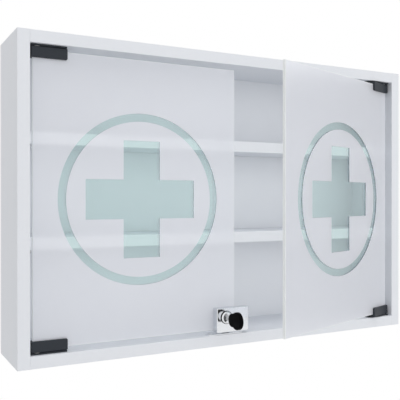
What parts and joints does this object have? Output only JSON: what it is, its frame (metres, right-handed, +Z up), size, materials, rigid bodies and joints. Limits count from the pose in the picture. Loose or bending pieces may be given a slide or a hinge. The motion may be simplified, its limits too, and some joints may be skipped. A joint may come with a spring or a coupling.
{
  "type": "medicine cabinet",
  "caption": "Wall-hung white medicine cabinet with frosted glass doors on black pivot hinges, clear ring and cross motif, full-width shelves and a chrome double-door lock with key.",
  "frame": {"origin": "centre of the wall face, on the rear of the back panel", "axes": "+Z up, +Y into the wall, +X to the right when facing the doors"},
  "size_m": [0.6, 0.1852, 0.4],
  "materials": {
    "white_board": "white melamine on particle board, satin",
    "white_edge": "white edge band, satin",
    "back_board": "hardboard, white inside and raw brown outside",
    "frosted_glass": "satin float glass with clear polished ring and cross",
    "black_metal": "black powder coat, satin",
    "chrome": "polished chrome plate",
    "steel": "bright zinc-plated steel",
    "zinc": "die-cast zinc",
    "beech": "fluted beech",
    "nylon": "natural nylon",
    "soft_pad": "thin soft pad",
    "black_plastic": "moulded black plastic, fine texture"
  },
  "bodies": {
    "carcass": {"side_panel_left": "white_board", "side_panel_right": "white_board", "top_panel": "white_board", "bottom_panel": "white_board", "shelf_upper": "white_board", "shelf_lower": "white_board", "side_edge_bands": "white_edge", "top_bottom_edge_bands": "white_edge", "shelf_edge_bands": "white_edge", "back_panel": "back_board", "hinge_leaf_top_left": "black_metal", "hinge_leaf_bottom_left": "black_metal", "hinge_leaf_top_right": "black_metal", "hinge_leaf_bottom_right": "black_metal", "hinge_leaf_screws": "black_metal", "strike_plate": "chrome", "cam_bolts": "steel", "back_panel_screws": "steel", "hanger_plates": "steel", "hanger_screws": "steel", "hinge_pins": "steel", "shelf_pins": "steel", "strike_screws": "steel", "cam_discs": "zinc", "dowels": "beech", "hinge_washers": "nylon"},
    "left_door": {"left_door_glass": "frosted_glass", "hinge_clip_top_left": "black_metal", "hinge_clip_bottom_left": "black_metal", "left_clip_pads": "soft_pad", "left_clip_screws": "black_metal", "lock_case": "chrome", "lock_barrel": "chrome", "lock_clamp_pad": "soft_pad", "lock_clamp_screws": "steel"},
    "right_door": {"right_door_glass": "frosted_glass", "hinge_clip_top_right": "black_metal", "hinge_clip_bottom_right": "black_metal", "right_clip_pads": "soft_pad", "right_clip_screws": "black_metal"},
    "lock_plug": {"lock_plug": "chrome", "lock_cam": "steel", "lock_cam_screw": "steel"},
    "key": {"key_blade": "steel", "key_head": "black_plastic"},
    "lock_bolt": {"lock_bolt": "steel"}
  },
  "joints": [
    {"name": "left_door_swing", "type": "hinge", "parent": "carcass", "child": "left_door", "pos_m": [-0.275, -0.0895, 0], "axis": [0, 0, -1], "range_deg": [0, 105]},
    {"name": "right_door_swing", "type": "hinge", "parent": "carcass", "child": "right_door", "pos_m": [0.275, -0.0895, 0], "axis": [0, 0, 1], "range_deg": [-20, 85]},
    {"name": "lock_turn", "type": "hinge", "parent": "left_door", "child": "lock_plug", "pos_m": [-0.0255, -0.103, -0.159], "axis": [0, 1, 0], "range_deg": [0, 90]},
    {"name": "bolt_slide", "type": "slide", "parent": "left_door", "child": "lock_bolt", "axis": [0, 0, -1], "range_m": [0, 0.008]},
    {"name": "key_pull", "type": "slide", "parent": "lock_plug", "child": "key", "axis": [0, -1, 0], "range_m": [0, 0.02]}
  ],
  "couplings": [
    {"joint": "lock_turn", "follows": "bolt_slide", "rad_per_m": 196.24}
  ]
}
